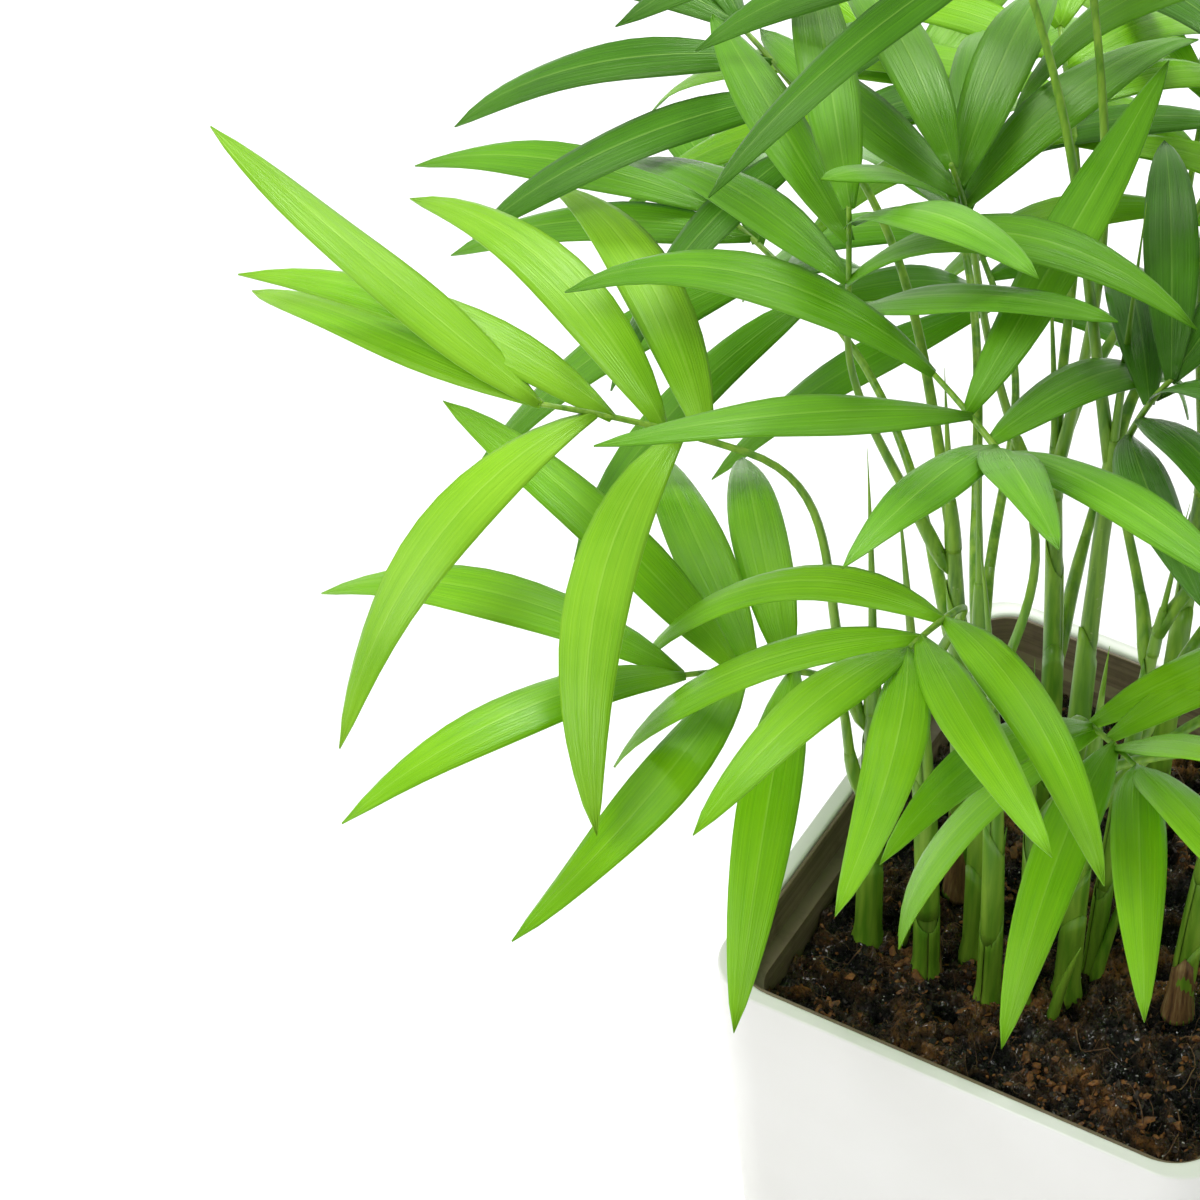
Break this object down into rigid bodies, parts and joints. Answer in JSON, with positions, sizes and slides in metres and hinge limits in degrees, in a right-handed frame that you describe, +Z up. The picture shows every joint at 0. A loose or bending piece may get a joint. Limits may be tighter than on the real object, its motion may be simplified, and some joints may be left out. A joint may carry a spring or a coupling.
{
  "type": "potted parlor palm",
  "caption": "Potted parlor palm: a clump of slim green canes with arching pinnate fronds, in a rounded rectangular planter with an inner liner and peat soil.",
  "frame": {"origin": "middle of the planter's flat underside", "axes": "+Z up along the canes, X and Y along the planter's short and long sides"},
  "size_m": [0.6874, 0.6187, 0.7507],
  "materials": {
    "planter": "satin",
    "liner": "satin",
    "soil": "rough",
    "cane": "satin",
    "frond": "satin"
  },
  "bodies": {
    "root": {"cane_back": "cane", "cane_back_left": "cane", "cane_behind_left": "cane", "cane_center": "cane", "cane_front": "cane", "cane_front_left": "cane", "cane_front_thin": "cane", "cane_left": "cane", "cane_left_back": "cane", "cane_middle": "cane", "cane_middle_thin": "cane", "cane_right": "cane", "cane_right_back": "cane", "frond_38": "frond", "frond_46": "frond", "frond_57": "frond", "frond_59": "frond", "frond_62": "frond", "frond_64": "frond", "frond_65": "frond", "frond_67": "frond", "frond_69": "frond", "frond_70": "frond", "frond_far_left": "frond", "frond_front": "frond", "frond_front_left": "frond", "frond_high_front": "frond", "frond_low_left": "frond", "frond_middle": "frond", "frond_upright_back": "frond", "frond_upright_left": "frond", "liner": "liner", "planter": "planter", "soil": "soil", "top_fronds_of_cane_back": "frond", "top_fronds_of_cane_back_left": "frond", "top_fronds_of_cane_center": "frond", "top_fronds_of_cane_left_back": "frond", "top_fronds_of_cane_middle_thin": "frond", "top_fronds_of_cane_right": "frond", "top_fronds_of_cane_right_back": "frond"}
  },
  "joints": []
}
